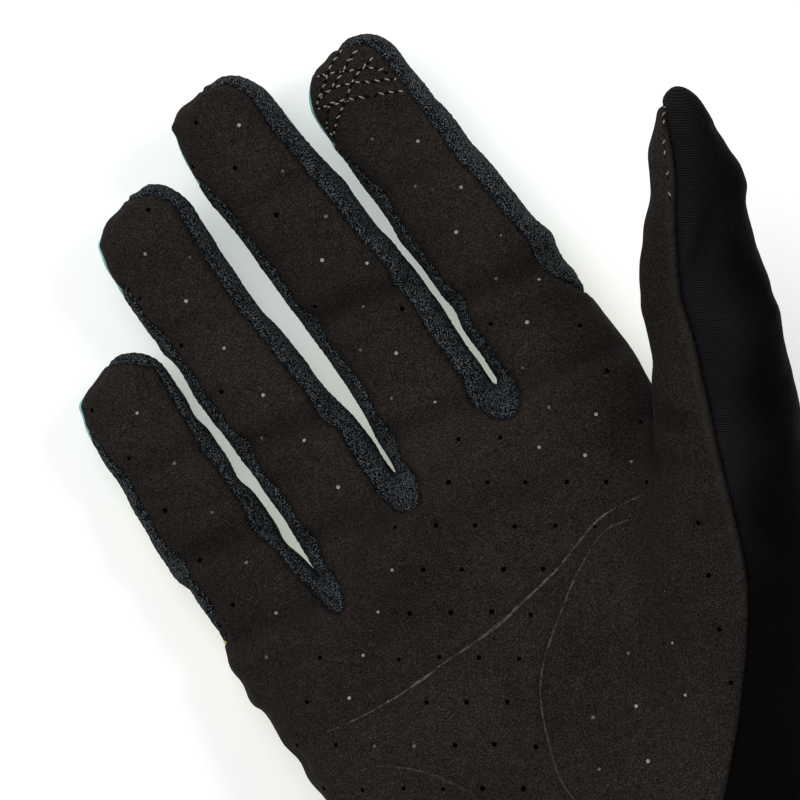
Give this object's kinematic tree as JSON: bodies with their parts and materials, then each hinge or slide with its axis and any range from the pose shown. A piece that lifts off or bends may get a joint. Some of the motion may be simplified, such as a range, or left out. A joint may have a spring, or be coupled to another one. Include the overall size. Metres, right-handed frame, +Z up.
{
  "type": "cycling glove",
  "caption": "Full-finger cycling glove for the right hand, filled out and lying palm up, with a perforated suede palm, knitted finger sides and a slip-on cuff.",
  "frame": {"origin": "on the surface that the glove lies on, under the middle of the palm, at the flat of the back of the hand", "axes": "+X to the thumb side, +Y along the hand to the fingertips, +Z up out of the palm"},
  "size_m": [0.1265, 0.2142, 0.0585],
  "materials": {
    "suede": "dark brown-black microsuede, short nap, perforated",
    "knit": "blue-black granular knit",
    "stretch": "smooth black stretch fabric with fine ribs and a soft sheen",
    "back_mesh": "plain stretch mesh, pale teal at the fingertips fading to lime at the knuckles",
    "cuff": "plain black elastic knit with a sewn hem"
  },
  "bodies": {
    "root": {"palm_panel": "suede", "hand_back_panel": "back_mesh", "thumb_back_panel": "stretch", "fourchette_index_middle": "knit", "fourchette_middle_ring": "knit", "fourchette_ring_little": "knit", "index_side_strip": "knit", "little_side_strip": "knit", "cuff_band": "cuff"}
  },
  "joints": []
}
